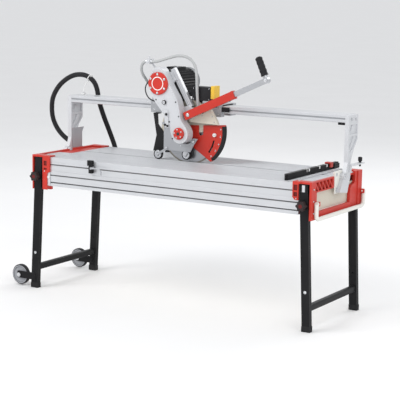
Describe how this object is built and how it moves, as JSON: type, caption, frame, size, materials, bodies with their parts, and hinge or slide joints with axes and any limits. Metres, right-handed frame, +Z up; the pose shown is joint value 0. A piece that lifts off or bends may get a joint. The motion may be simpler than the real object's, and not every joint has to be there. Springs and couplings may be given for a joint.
{
  "type": "bridge tile saw",
  "caption": "Long wet tile saw on four legs: slotted extruded table, tilting bridge rail, sliding belt-driven saw head with guard, pull handle, water tank and transport wheels",
  "frame": {"origin": "centre of the bounding box without cords, on the floor", "axes": "+X along the table to the right of the operator, +Y away from the operator, +Z up"},
  "size_m": [2.061, 0.66, 1.3443],
  "materials": {
    "aluminium": "brushed extrusion",
    "cast_grey": "satin grey paint",
    "light_grey": "satin pale grey paint",
    "red_paint": "semi-gloss red paint",
    "black_paint": "satin black powder coat",
    "white_paint": "white powder coat",
    "steel": "zinc plated",
    "black_plastic": "moulded",
    "cream_plastic": "moulded tub",
    "grey_plastic": "moulded",
    "red_plastic": "moulded",
    "white_plastic": "moulded",
    "yellow_plastic": "moulded",
    "green_plastic": "moulded",
    "rubber": "plain"
  },
  "bodies": {
    "base": {"table_front": "aluminium", "table_back": "aluminium", "water_tank": "cream_plastic", "end_casting_left": "red_paint", "end_casting_right": "red_paint", "scale_rail": "steel", "fence_bar": "black_paint", "tilt_plate_right": "white_paint", "leg_frame_left": "black_paint", "leg_frame_right": "black_paint", "lever_block": "black_paint", "conduit_loop": "black_plastic"},
    "bridge": {"bridge_rail": "aluminium", "bridge_post_left": "light_grey", "bridge_post_right": "light_grey", "rail_bumper": "rubber", "hose_holder": "black_paint", "conduit_span": "black_plastic"},
    "carriage": {"carriage_body": "cast_grey", "splash_flap": "rubber", "pivot_pin": "black_paint"},
    "arm": {"swing_arm": "aluminium", "belt_cover": "light_grey", "pulley_cover": "red_paint", "hub_cap": "red_paint", "motor_body": "black_paint", "fan_cover": "grey_plastic", "handle_tube": "red_paint", "switch_box": "black_plastic", "fixed_guard": "cream_plastic", "water_tap": "black_plastic", "water_hose": "black_plastic", "drive_belt": "rubber"},
    "handle": {"handle_slide": "steel", "handle_grip": "black_plastic"},
    "sector": {"guard_sector": "red_paint", "guard_knob": "white_plastic"},
    "blade_set": {"blade": "steel", "blade_spindle": "steel"},
    "motor_pulley": {"motor_pulley": "steel"},
    "switch_cover": {"switch_cover": "yellow_plastic"},
    "start_button": {"start_button": "green_plastic"},
    "stop_button": {"stop_button": "red_plastic"},
    "roller_arm_left": {"roller_arm_left": "steel"},
    "roller_left": {"roller_left": "rubber"},
    "roller_arm_right": {"roller_arm_right": "steel"},
    "roller_right": {"roller_right": "rubber"},
    "plunge_lock": {"plunge_lock": "black_plastic"},
    "carriage_lock": {"carriage_lock": "black_plastic"},
    "tilt_lock": {"tilt_lock": "black_plastic"},
    "wheel_front": {"wheel_front": "rubber"},
    "wheel_back": {"wheel_back": "rubber"},
    "leg_knob_front_left": {"leg_knob_front_left": "black_plastic"},
    "leg_knob_back_left": {"leg_knob_back_left": "black_plastic"},
    "leg_knob_front_right": {"leg_knob_front_right": "black_plastic"},
    "leg_knob_back_right": {"leg_knob_back_right": "black_plastic"},
    "lift_handle": {"lift_handle": "white_paint"},
    "stop_slider": {"stop_slider": "red_plastic"},
    "clamp_lever": {"clamp_lever": "steel"}
  },
  "joints": [
    {"name": "bridge_tilt", "type": "hinge", "parent": "base", "child": "bridge", "pos_m": [0.918, 0.04, 0.75], "axis": [-1, 0, 0], "range_deg": [0, 45], "deforming": ["conduit_loop"]},
    {"name": "carriage_slide", "type": "slide", "parent": "bridge", "child": "carriage", "axis": [1, 0, 0], "range_m": [-0.5, 0.5], "deforming": ["conduit_span"]},
    {"name": "head_plunge", "type": "hinge", "parent": "carriage", "child": "arm", "pos_m": [-0.089, -0.035, 1.075], "axis": [0, -1, 0], "range_deg": [0, 25], "deforming": ["water_hose"]},
    {"name": "blade_spin", "type": "hinge", "parent": "arm", "child": "blade_set", "pos_m": [0.006, 0.04, 0.912], "axis": [0, 1, 0], "continuous": true},
    {"name": "motor_spin", "type": "hinge", "parent": "arm", "child": "motor_pulley", "pos_m": [-0.128, -0.035, 1.174], "axis": [0, 1, 0], "continuous": true},
    {"name": "sector_swing", "type": "hinge", "parent": "arm", "child": "sector", "pos_m": [0.006, 0.04, 0.912], "axis": [0, -1, 0], "range_deg": [0, 35]},
    {"name": "handle_extend", "type": "slide", "parent": "arm", "child": "handle", "axis": [0.9136, 0, 0.4066], "range_m": [-0.15, 0.03]},
    {"name": "switch_cover_lift", "type": "hinge", "parent": "arm", "child": "switch_cover", "pos_m": [0.15, 0.04, 1.171], "axis": [0, -1, 0], "range_deg": [0, 90]},
    {"name": "start_press", "type": "slide", "parent": "arm", "child": "start_button", "axis": [-1, 0, 0], "range_m": [0, 0.003], "stiffness_N_per_m": 800},
    {"name": "stop_press", "type": "slide", "parent": "arm", "child": "stop_button", "axis": [-1, 0, 0], "range_m": [0, 0.003], "stiffness_N_per_m": 800},
    {"name": "roller_lift_left", "type": "hinge", "parent": "carriage", "child": "roller_arm_left", "pos_m": [-0.115, 0.016, 0.818], "axis": [0, 1, 0], "range_deg": [0, 30]},
    {"name": "roller_roll_left", "type": "hinge", "parent": "roller_arm_left", "child": "roller_left", "pos_m": [-0.18, 0.016, 0.779], "axis": [0, 1, 0], "continuous": true},
    {"name": "roller_lift_right", "type": "hinge", "parent": "carriage", "child": "roller_arm_right", "pos_m": [0.055, 0.016, 0.866], "axis": [0, 1, 0], "range_deg": [0, 30]},
    {"name": "roller_roll_right", "type": "hinge", "parent": "roller_arm_right", "child": "roller_right", "pos_m": [0.002, 0.016, 0.789], "axis": [0, 1, 0], "continuous": true},
    {"name": "plunge_lock_turn", "type": "hinge", "parent": "carriage", "child": "plunge_lock", "pos_m": [-0.102, -0.01, 0.998], "axis": [0, 1, 0], "continuous": true},
    {"name": "carriage_lock_pull", "type": "slide", "parent": "carriage", "child": "carriage_lock", "axis": [1, 0, 0], "range_m": [0, 0.006]},
    {"name": "tilt_lock_turn", "type": "hinge", "parent": "bridge", "child": "tilt_lock", "pos_m": [0.954, 0.185, 0.82], "axis": [0, 0, 1], "continuous": true},
    {"name": "wheel_roll_front", "type": "hinge", "parent": "base", "child": "wheel_front", "pos_m": [-0.912, -0.273, 0.062], "axis": [0, 1, 0], "continuous": true},
    {"name": "wheel_roll_back", "type": "hinge", "parent": "base", "child": "wheel_back", "pos_m": [-0.912, 0.281, 0.062], "axis": [0, 1, 0], "continuous": true},
    {"name": "leg_knob_turn_front_left", "type": "hinge", "parent": "base", "child": "leg_knob_front_left", "pos_m": [-0.7778, -0.32, 0.64], "axis": [0, 1, 0], "continuous": true},
    {"name": "leg_knob_turn_back_left", "type": "hinge", "parent": "base", "child": "leg_knob_back_left", "pos_m": [-0.7778, 0.32, 0.64], "axis": [0, 1, 0], "continuous": true},
    {"name": "leg_knob_turn_front_right", "type": "hinge", "parent": "base", "child": "leg_knob_front_right", "pos_m": [0.8758, -0.32, 0.64], "axis": [0, 1, 0], "continuous": true},
    {"name": "leg_knob_turn_back_right", "type": "hinge", "parent": "base", "child": "leg_knob_back_right", "pos_m": [0.8758, 0.32, 0.64], "axis": [0, 1, 0], "continuous": true},
    {"name": "lift_handle_fold", "type": "hinge", "parent": "base", "child": "lift_handle", "pos_m": [0.931, 0.011, 0.647], "axis": [0, -1, 0], "range_deg": [0, 100]},
    {"name": "stop_slide", "type": "slide", "parent": "base", "child": "stop_slider", "axis": [0, 1, 0], "range_m": [-0.42, 0.012]},
    {"name": "clamp_lever_turn", "type": "hinge", "parent": "base", "child": "clamp_lever", "pos_m": [-0.402, -0.304, 0.718], "axis": [-1, 0, 0], "range_deg": [0, 100]}
  ],
  "couplings": [
    {"joint": "motor_spin", "follows": "blade_spin", "ratio": 0.6}
  ]
}
